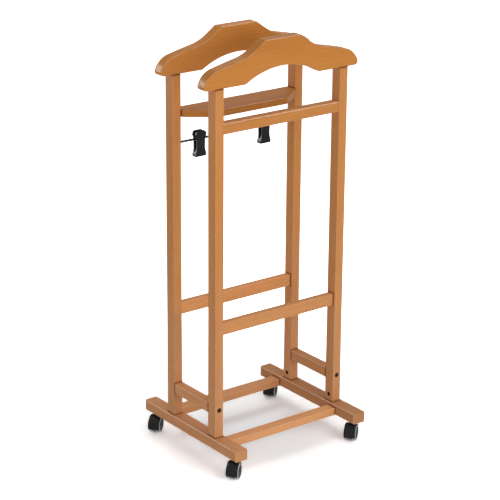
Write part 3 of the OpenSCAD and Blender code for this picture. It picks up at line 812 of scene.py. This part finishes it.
@dataclass
class Woodwork:
    """All the stained wooden pieces, each cut from its own board."""

    # Strength of the painted pale sheen on bars and on slabs, near the floor and higher up.
    bar_bloom: tuple[float, float] = (0.1, 0.03)
    slab_bloom: tuple[float, float] = (0.0, 0.0)
    touch: float = 0.2 * MM
    first_seed: float = 0.37
    seed_step: float = 0.71

    def build(self) -> None:
        """Dresses every wooden node with its own run of grain."""
        # Rows: node, grain, slab axis, tone. The tone is partly the board's own colour and partly
        # painted light and shade.
        boards = [
            ("foot_left", Axis.Y, None, 1.05),
            ("foot_right", Axis.Y, None, 0.88),
            ("post_front_left", Axis.Z, None, 1.04),
            ("post_front_right", Axis.Z, None, 0.98),
            ("post_rear_left", Axis.Z, None, 1.04),
            ("post_rear_right", Axis.Z, None, 1.07),
            ("hanger_front", Axis.X, Axis.Y, 0.97),
            ("hanger_rear", Axis.X, Axis.Y, 1.1),
            ("base_rail_front", Axis.X, None, 1.27),
            ("base_rail_rear", Axis.X, None, 1.1),
            ("side_rail_left", Axis.Y, None, 1.16),
            ("side_rail_right", Axis.Y, None, 1.0),
            ("mid_rail_front", Axis.X, None, 1.03),
            ("mid_rail_rear", Axis.X, None, 1.26),
            ("trouser_bar", Axis.X, None, 0.97),
            ("tray_shelf", Axis.X, Axis.Z, 0.85),
        ]
        names = [board[0] for board in boards]
        for cut, (name, grain, slab, tone) in enumerate(boards):
            wood = StainedWood(
                f"wood_{name}",
                grain,
                slab,
                self.first_seed + self.seed_step * cut,
                tone,
                self.neighbours(name, names),
                self.nut_bore() if name.startswith("post") else None,
                self.bar_bloom if slab is None else self.slab_bloom,
            )
            dress(wood.material(), name)
        dress(BareBeech().material(), "dowels")
        LOG.info("woodwork: %d boards", len(boards))

    def nut_bore(self) -> Bore:
        """Measures the bores that the cross nuts sit in.

        Returns:
            The bore, which is the same in all four posts but for the signs of its place.
        """
        low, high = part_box("cross_nuts")
        radius = (high.z - low.z) / 2
        return Bore(high.x, high.y - radius, (low.z + high.z) / 2, radius)

    def neighbours(self, name: str, others: list[str]) -> tuple[str, ...]:
        """Looks for the boards that a board is joined to.

        Args:
            name: the board.
            others: all the boards, with or without this one.

        Returns:
            The names of the other boards whose boxes touch its box.
        """
        low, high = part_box(name)
        found = []
        for other in others:
            near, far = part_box(other)
            gap = max(max(near[axis] - high[axis], low[axis] - far[axis]) for axis in range(3))
            if other != name and gap < self.touch:
                found.append(other)
        return tuple(found)


@dataclass
class Fasteners:
    """Screws, bolts, cross nuts and the sockets in the feet."""

    def build(self) -> None:
        """Dresses the metal and plastic fittings."""
        dress(BRONZE.material(), "side_rail_screws", "foot_bolts")
        dress(NUT.material(), "cross_nuts")
        dress(SOCKET.material(), "caster_sockets")
        LOG.info("fasteners dressed")


@dataclass
class ClipRod:
    """The twisted square rod, with its arrises softened as drawn steel has them."""

    across: float = 6.6 * MM
    pitch: float = 48 * MM
    arris: float = 0.45 * MM
    corner_loss: float = 0.4
    steps_a_turn: int = 40
    smooth_angle: float = 25.0

    def build(self) -> None:
        """Makes the rod: its square section turns while it runs along X."""
        low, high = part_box("clip_rod")
        left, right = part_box("post_rear_left")[1].x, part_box("post_rear_right")[0].x
        middle = (low + high) / 2
        length = right - left
        steps = math.ceil(length / self.pitch * self.steps_a_turn)
        shape = bmesh.new()
        turn = Matrix.Rotation(math.pi / 2, 4, "Y")
        place = Matrix.Translation((left, middle.y, middle.z)) @ turn
        radius = self.across / 2 + self.arris * self.corner_loss
        bmesh.ops.create_circle(shape, cap_ends=True, segments=4, radius=radius, matrix=place)
        bmesh.ops.bevel(
            shape,
            geom=shape.verts[:],
            offset=self.arris,
            segments=2,
            profile=0.5,
            affect="VERTICES",
            material=-1,
        )
        bmesh.ops.spin(
            shape,
            geom=shape.verts[:] + shape.edges[:] + shape.faces[:],
            cent=middle,
            axis=(1, 0, 0),
            dvec=(length / steps, 0, 0),
            angle=-math.tau * length / self.pitch,
            steps=steps,
        )
        black = ROD.material()
        rod = finish_shape(shape, "twisted_rod", "frame", black, self.smooth_angle)
        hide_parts("clip_rod")
        LOG.info("clip rod: %d faces", len(rod.data.polygons))


@dataclass
class Clip:
    """One trouser clip: grips, borders and bosses on its jaws, and a round-wire spring."""

    side: str
    plastic: bpy.types.Material
    steel: bpy.types.Material
    wire: bpy.types.Material
    border: float = 1.7 * MM
    face_depth: float = 2 * MM
    rise: float = 0.55 * MM
    grips: int = 4
    grip_w: float = 15 * MM
    grip_taper: float = 2 * MM
    grip_h: float = 1.1 * MM
    grip_round: float = 0.3 * MM
    grip_gap: float = 2.6 * MM
    grip_start: float = 6.5 * MM
    boss_r: float = 2.7 * MM
    boss_h: float = 0.8 * MM
    boss_z: float = -3.0 * MM
    boss_steps: int = 32
    boss_profile: Profile = (
        (0.0, 0.55), (0.35, 0.6), (0.5, 1.0), (0.8, 1.0), (1.0, 0.6), (1.0, -1.0)
    )
    coil_r: float = 5.1 * MM
    coil_half: float = 3.2 * MM
    wire_r: float = 0.5 * MM
    wire_sides: int = 10
    turns: float = 4.5
    steps_a_turn: int = 28
    leg_y: float = 4.4 * MM
    leg_bend: float = 1.6 * MM
    leg_low: float = 3.2 * MM
    leg_top: float = 13 * MM
    smooth_angle: float = 60.0

    def build(self) -> None:
        """Dresses the clip's nodes and adds its moulded details and its spring."""
        dress(self.plastic, *(f"clip_{self.side}_{jaw.word}_jaw" for jaw in Jaw))
        dress(self.steel, f"clip_{self.side}_sleeve")
        low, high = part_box(f"clip_{self.side}_sleeve")
        centre = (low + high) / 2
        for jaw in Jaw:
            self.raised_border(jaw)
            self.grip_bars(jaw, centre)
            self.boss(jaw, centre)
        self.spring(centre)
        LOG.info("clip %s at x = %.0f mm", self.side, centre.x / MM)

    def moulded(self, shape: bmesh.types.BMesh, jaw: Jaw, detail: str) -> None:
        """Finishes one plastic detail of a jaw."""
        name = f"clip_{self.side}_{jaw.word}_{detail}"
        finish_shape(shape, name, f"clip_{self.side}_{jaw.body}", self.plastic)

    def outer_y(self, jaw: Jaw) -> float:
        """Returns where the outer face of a jaw lies along Y."""
        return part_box(f"clip_{self.side}_{jaw.word}_jaw")[0 if jaw.value < 0 else 1].y

    def raised_border(self, jaw: Jaw) -> None:
        """Raises a border round the jaw's outer face, which leaves a sunk panel.

        Args:
            jaw: which jaw.
        """
        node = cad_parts[f"clip_{self.side}_{jaw.word}_jaw"]
        shape = bmesh.new()
        shape.from_mesh(node.data)
        bmesh.ops.remove_doubles(shape, verts=shape.verts, dist=10 * MERGE)
        inmost = max(jaw.value * vert.co.y for vert in shape.verts) - self.face_depth
        away = [
            face
            for face in shape.faces
            if face.normal.y * jaw.value < 0.95 or jaw.value * face.calc_center_median().y < inmost
        ]
        bmesh.ops.delete(shape, geom=away, context="FACES")
        inner = bmesh.ops.inset_region(
            shape,
            faces=shape.faces[:],
            thickness=self.border,
            use_even_offset=True,
            use_boundary=True,
        )
        rim = set(inner["faces"])
        panel = [face for face in shape.faces if face not in rim]
        bmesh.ops.delete(shape, geom=panel, context="FACES")
        walls = bmesh.ops.extrude_face_region(shape, geom=shape.faces[:])
        moved = [part for part in walls["geom"] if isinstance(part, bmesh.types.BMVert)]
        bmesh.ops.translate(shape, verts=moved, vec=(0, jaw.value * self.rise, 0))
        self.moulded(shape, jaw, "border")

    def grip_bars(self, jaw: Jaw, centre: Vector) -> None:
        """Adds the cross bars that the thumb presses on, the middle ones widest.

        Args:
            jaw: which jaw.
            centre: the middle of the clip's sleeve.
        """
        outer = self.outer_y(jaw)
        shape = bmesh.new()
        for row in range(self.grips):
            width = self.grip_w - abs(row - (self.grips - 1) / 2) * self.grip_taper
            size = Matrix.Diagonal((width, 2 * self.rise, self.grip_h, 1))
            height = centre.z + self.grip_start + row * self.grip_gap
            place = Matrix.Translation((centre.x, outer, height)) @ size
            bmesh.ops.create_cube(shape, size=1.0, matrix=place)
        bmesh.ops.bevel(
            shape,
            geom=shape.edges[:],
            offset=self.grip_round,
            segments=2,
            profile=0.5,
            affect="EDGES",
            material=-1,
        )
        self.moulded(shape, jaw, "grips")

    def boss(self, jaw: Jaw, centre: Vector) -> None:
        """Adds the round boss under the grips, with a dimple in it.

        Args:
            jaw: which jaw.
            centre: the middle of the clip's sleeve.
        """
        shape = lathe(self.boss_profile, self.boss_r, self.boss_h, self.boss_steps)
        turn = Matrix.Rotation(-jaw.value * math.pi / 2, 4, "X")
        middle = (centre.x, self.outer_y(jaw), centre.z + self.boss_z)
        place = Matrix.Translation(middle) @ turn
        bmesh.ops.transform(shape, matrix=place, verts=shape.verts)
        self.moulded(shape, jaw, "boss")

    def spring(self, centre: Vector) -> None:
        """Winds the torsion spring and bends its legs up behind the two levers.

        Args:
            centre: the middle of the clip's sleeve.
        """
        shape = bmesh.new()
        start = Matrix.Translation(centre + Vector((-self.coil_half, self.coil_r, 0)))
        sides = self.wire_sides
        bmesh.ops.create_circle(shape, segments=sides, radius=self.wire_r, matrix=start)
        first = shape.edges[:]
        steps = round(self.turns * self.steps_a_turn)
        wound = bmesh.ops.spin(
            shape,
            geom=shape.verts[:] + shape.edges[:],
            cent=centre,
            axis=(1, 0, 0),
            dvec=(2 * self.coil_half / steps, 0, 0),
            angle=-math.tau * self.turns,
            steps=steps,
        )
        last = [part for part in wound["geom_last"] if isinstance(part, bmesh.types.BMEdge)]
        for way, loop in ((1, first), (-1, last)):
            self.leg(shape, loop, centre, way)
        name, body = f"clip_{self.side}_coil", f"clip_{self.side}_back"
        piece = finish_shape(shape, name, body, self.wire, self.smooth_angle)
        piece.parent = None
        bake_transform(piece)
        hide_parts(f"clip_{self.side}_spring")

    def leg(
        self, shape: bmesh.types.BMesh, loop: list[bmesh.types.BMEdge], centre: Vector, way: int
    ) -> None:
        """Draws one leg up from an end of the coil and caps it.

        Args:
            shape: the spring so far.
            loop: the edges of the coil's open end.
            centre: the middle of the clip's sleeve.
            way: 1 for the rear leg and -1 for the front one.
        """
        edges = loop
        bend = ((self.leg_y + self.coil_r) / 2, self.leg_bend)
        for y, z in (bend, (self.leg_y, self.leg_low), (self.leg_y, self.leg_top)):
            grown = bmesh.ops.extrude_edge_only(shape, edges=edges)["geom"]
            verts = [part for part in grown if isinstance(part, bmesh.types.BMVert)]
            edges = [part for part in grown if isinstance(part, bmesh.types.BMEdge)]
            middle = sum((vert.co for vert in verts), Vector()) / len(verts)
            goal = Vector((middle.x, centre.y + way * y, centre.z + z))
            bmesh.ops.translate(shape, verts=verts, vec=goal - middle)
            for vert in verts:
                vert.co.z = goal.z
        bmesh.ops.contextual_create(shape, geom=edges)


@dataclass
class Caster:
    """One twin-wheel caster: beads on its hood, and a cap and a step on each wheel disc.

    wheels_half is half of the width over both wheels. Sizes that end in _in go inwards from
    there, and the cap's profile has shares of cap_r and heights in millimetres.
    """

    corner: str
    place: Vector
    hood: bpy.types.Material
    bead: bpy.types.Material
    disc: bpy.types.Material
    tyre: bpy.types.Material
    steel: bpy.types.Material
    heading: float = math.radians(218)
    trail: float = 12 * MM
    axle_z: float = 20 * MM
    wheels_half: float = 15.75 * MM
    hood_in_r: float = 20.8 * MM
    hood_from: float = math.radians(-18)
    hood_to: float = math.radians(150)
    hood_steps: int = 56
    bead_r: float = 0.55 * MM
    bead_sides: int = 10
    bead_out: float = 0.9 * MM
    bead_in: float = 0.75 * MM
    face_in: float = 0.4 * MM
    cap_r: float = 4.2 * MM
    cap_steps: int = 48
    cap_profile: Profile = (
        (0.0, 0.25), (0.3, 0.3), (0.38, 0.75), (0.7, 0.68), (0.92, 0.42), (1.0, 0.1), (1.0, -0.3)
    )
    step_r: float = 11 * MM
    step_wire: float = 0.45 * MM
    step_sides: int = 8
    step_in: float = 1.2 * MM
    step_steps: int = 72

    def build(self) -> None:
        """Dresses the caster's nodes and adds its small mouldings."""
        name = self.corner
        dress(self.hood, f"{name}_hood")
        dress(self.steel, f"{name}_stem", f"{name}_axle")
        self.hood_beads()
        for side, way in (("left", -1), ("right", 1)):
            dress(self.tyre, f"{name}_tyre_{side}")
            dress(self.disc, f"{name}_disc_{side}")
            self.hub(side, way)
        LOG.info("caster %s", name)

    def on_axle(self) -> Matrix:
        """Finds the axle.

        Returns:
            Its middle, with X along the trail and Z along the axle.
        """
        swivel = Matrix.Translation((self.place.x, self.place.y, 0))
        swivel = swivel @ Matrix.Rotation(self.heading, 4, "Z")
        axle = Matrix.Translation((self.trail, 0, self.axle_z))
        return swivel @ axle @ Matrix.Rotation(math.pi / 2, 4, "X")

    def hood_beads(self) -> None:
        """Runs a fine bead along each side edge of the hood."""
        shape = bmesh.new()
        radius = self.hood_in_r + self.bead_out
        x, y = radius * math.cos(self.hood_from), radius * math.sin(self.hood_from)
        turn = Matrix.Rotation(self.hood_from, 4, "Z") @ Matrix.Rotation(math.pi / 2, 4, "X")
        for way in (-1, 1):
            start = Matrix.Translation((x, y, way * (self.wheels_half - self.bead_in)))
            made = bmesh.ops.create_circle(
                shape,
                segments=self.bead_sides,
                radius=self.bead_r,
                cap_ends=True,
                matrix=start @ turn,
            )
            edges = {edge for vert in made["verts"] for edge in vert.link_edges}
            faces = {face for vert in made["verts"] for face in vert.link_faces}
            bmesh.ops.spin(
                shape,
                geom=made["verts"] + list(edges) + list(faces),
                cent=(0, 0, 0),
                axis=(0, 0, 1),
                angle=self.hood_to - self.hood_from,
                steps=self.hood_steps,
            )
        bmesh.ops.transform(shape, matrix=self.on_axle(), verts=shape.verts)
        name, body = f"{self.corner}_hood_beads", f"{self.corner}_swivel"
        finish_shape(shape, name, body, self.bead)

    def hub(self, side: str, way: int) -> None:
        """Adds the snap cap in the middle of a wheel disc and the step round its dish.

        Args:
            side: left or right, as in the wheel's name.
            way: -1 for the left wheel and 1 for the right one.
        """
        cap = lathe(self.cap_profile, self.cap_r, MM, self.cap_steps)
        dish = ring(self.step_r, self.step_wire, self.step_steps, self.step_sides)
        bmesh.ops.translate(dish, verts=dish.verts, vec=(0, 0, -self.step_in))
        turn = Matrix.Rotation(0 if way < 0 else math.pi, 4, "X")
        face = Matrix.Translation((0, 0, self.wheels_half - self.face_in))
        place = self.on_axle() @ turn @ face
        body = f"{self.corner}_wheel_{side}"
        for shape, word in ((cap, "cap"), (dish, "step")):
            bmesh.ops.transform(shape, matrix=place, verts=shape.verts)
            finish_shape(shape, f"{self.corner}_{word}_{side}", body, self.disc)


# ---------------------------------------------------------------- studio


@dataclass(frozen=True)
class SoftBox:
    """A square soft box that looks at the middle of the stand.

    Its light is what a surface at the stand that faces it gets; pi renders a colour as
    written. Its bearing runs from +X towards +Y, and its height above the floor; both are in
    degrees.
    """

    name: str
    light: float
    bearing: float
    height: float
    distance: float
    size: float
    sheen_only: bool = False
    aim: tuple[float, float, float] = (0.0, 0.0, 0.5)

    def build(self) -> None:
        """Hangs the lamp."""
        data = bpy.data.lights.new(self.name, "AREA")
        data.shape = "SQUARE"
        data.size = self.size
        data.energy = self.light * math.pi * self.distance**2
        lamp = bpy.data.objects.new(self.name, data)
        turn, rise = math.radians(self.bearing), math.radians(self.height)
        flat = math.cos(rise)
        away = Vector((math.cos(turn) * flat, math.sin(turn) * flat, math.sin(rise)))
        place = Matrix.Translation(Vector(self.aim) + self.distance * away)
        lamp.matrix_world = place @ away.to_track_quat("Z", "Y").to_matrix().to_4x4()
        lamp.visible_camera = False
        lamp.visible_diffuse = not self.sheen_only
        bpy.context.scene.collection.objects.link(lamp)


@dataclass
class Studio:
    """A pale floor without an edge, soft lamps, and the camera at the photograph's angle.

    Seen directly, the floor is painted darker and bluer under the stand as a painted shadow,
    which runs out between the two distances given for it. Its own light, which turns it plain
    white, sets in over those of clear_floor. The real floor that lights the stand from below is the
    paint alone.
    """

    camera_at: tuple[float, float, float] = (-2.7048, -3.5345, 2.0808)
    yaw: float = math.radians(37.24)
    pitch: float = math.radians(19.50)
    roll: float = math.radians(0.436)
    lens: float = 135.24
    sensor: float = 36.0
    far: float = 200.0
    floor_size: float = 60.0
    paint: tuple[Colour, Colour] = ((0.79, 0.8, 0.81, 1.0), (0.81, 0.82, 0.83, 1.0))
    paint_density: float = 3.0
    # Painted shadow: the darker, bluer floor colour seen under the stand, and how far it reaches.
    floor_under: Colour = (1.18, 1.29, 1.36, 1.0)
    floor_clear: Colour = (1.82, 1.84, 1.85, 1.0)
    under_floor: tuple[float, float] = (0.1, 0.3)
    clear_floor: tuple[float, float] = (0.35, 0.9)
    sky: float = 0.4
    soft_boxes: tuple[SoftBox, ...] = (
        SoftBox("front_box", 1.02, 278.0, 16.0, 2.2, 1.3),
        SoftBox("front_left_box", 0.62, 235.0, 16.0, 2.2, 1.3),
        SoftBox("left_box", 0.12, 165.0, 20.0, 1.25, 0.7),
        SoftBox("right_box", 0.1, 325.0, 48.0, 2.0, 0.8),
        SoftBox("back_right_box", 0.25, 60.0, 48.0, 2.2, 0.6),
        SoftBox("high_box", 0.24, 90.0, 62.0, 2.2, 0.5),
        SoftBox("tip_sheen", 11.0, 130.0, 19.0, 2.2, 1.4, True),
        SoftBox("bar_sheen", 0.3, 47.0, 46.0, 2.4, 0.35, True),
        SoftBox("arris_sheen", 5.0, 328.0, 52.0, 2.0, 0.9, True),
    )

    def build(self) -> None:
        """Makes the camera, the floor, the sky and the lamps."""
        self.camera()
        self.floor()
        self.world()
        for box in self.soft_boxes:
            box.build()
        LOG.info("studio ready")

    def camera(self) -> None:
        """Sets the camera where the photograph was taken from."""
        flat = math.cos(self.pitch)
        level = (math.sin(self.yaw) * flat, math.cos(self.yaw) * flat)
        ahead = Vector((*level, -math.sin(self.pitch)))
        right = Vector((math.cos(self.yaw), -math.sin(self.yaw), 0))
        up = right.cross(ahead)
        cosine, sine = math.cos(self.roll), math.sin(self.roll)
        rolled = (cosine * right + sine * up, cosine * up - sine * right, -ahead)
        data = bpy.data.cameras.new("camera")
        data.lens = self.lens
        data.sensor_width = self.sensor
        data.clip_end = self.far
        camera = bpy.data.objects.new("camera", data)
        bpy.context.scene.collection.objects.link(camera)
        turn = Matrix(rolled).transposed().to_4x4()
        camera.matrix_world = Matrix.Translation(self.camera_at) @ turn
        bpy.context.scene.camera = camera

    def seen(self, graph: Graph) -> Sock:
        """1 for rays from the camera, a mirror or glass, and 0 for the light itself."""
        ray = self.ray(graph, "Is Camera Ray").highest(self.ray(graph, "Is Glossy Ray"))
        return ray.highest(self.ray(graph, "Is Transmission Ray"))

    def ray(self, graph: Graph, kind: str) -> Sock:
        """One of the outputs of a Light Path node."""
        return graph.node("ShaderNodeLightPath", output=kind)

    def floor(self) -> None:
        """Lays a white floor that keeps the shadows, with a painted shadow under the stand where it is
        seen directly.
        """
        shape = bmesh.new()
        bmesh.ops.create_grid(shape, x_segments=1, y_segments=1, size=self.floor_size / 2)
        mesh = bpy.data.meshes.new("floor")
        shape.to_mesh(mesh)
        shape.free()
        floor = bpy.data.objects.new("floor", mesh)
        bpy.context.scene.collection.objects.link(floor)
        graph = Graph.fresh("floor")
        white = graph.mix(graph.even_noise(self.paint_density, 1.0), *self.paint)
        share = self.seen(graph)
        away = graph.vector("LENGTH", graph.place(), output="Value")
        # Painted shadow: the camera sees the floor darker and bluer under the stand.
        seen = graph.mix(graph.step(away, *self.under_floor), self.floor_under, self.floor_clear)
        colour = graph.mix(share, white, seen)
        paint = graph.node("ShaderNodeBsdfDiffuse", values={"Color": colour})
        strength = share * graph.step(away, *self.clear_floor)
        glow = graph.node("ShaderNodeEmission", values={"Strength": strength})
        both = graph.node("ShaderNodeAddShader", values={0: paint, 1: glow})
        graph.node("ShaderNodeOutputMaterial", values={"Surface": both})
        mesh.materials.append(graph.owner)

    def world(self) -> None:
        """Gives soft grey light from all round, and shows white where it is seen."""
        world = bpy.data.worlds.new("studio")
        bpy.context.scene.world = world
        graph = Graph(world)
        strength = self.sky + (1.0 - self.sky) * self.seen(graph)
        values = {"Color": (1, 1, 1, 1), "Strength": strength}
        air = graph.node("ShaderNodeBackground", values=values)
        graph.node("ShaderNodeOutputWorld", values={"Surface": air})


def main() -> None:
    """Builds the studio and the sub-assemblies."""
    bpy.context.scene.view_settings.view_transform = "Standard"
    Studio().build()
    Woodwork().build()
    Fasteners().build()
    ClipRod().build()
    plastic, steel, wire = CLIP.material(), STEEL.material(), SPRING.material()
    for side in ("left", "right"):
        Clip(side, plastic, steel, wire).build()
    hood, bead = HOOD.material(), BEAD.material()
    disc, tyre = DISC.material(), TyreRubber().material()
    for corner in ("front_left", "front_right", "rear_left", "rear_right"):
        low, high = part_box(f"{corner}_stem")
        Caster(corner, (low + high) / 2, hood, bead, disc, tyre, steel).build()


if __name__ == "__main__":
    logging.basicConfig(level=logging.INFO, format="%(name)s: %(message)s")
    main()
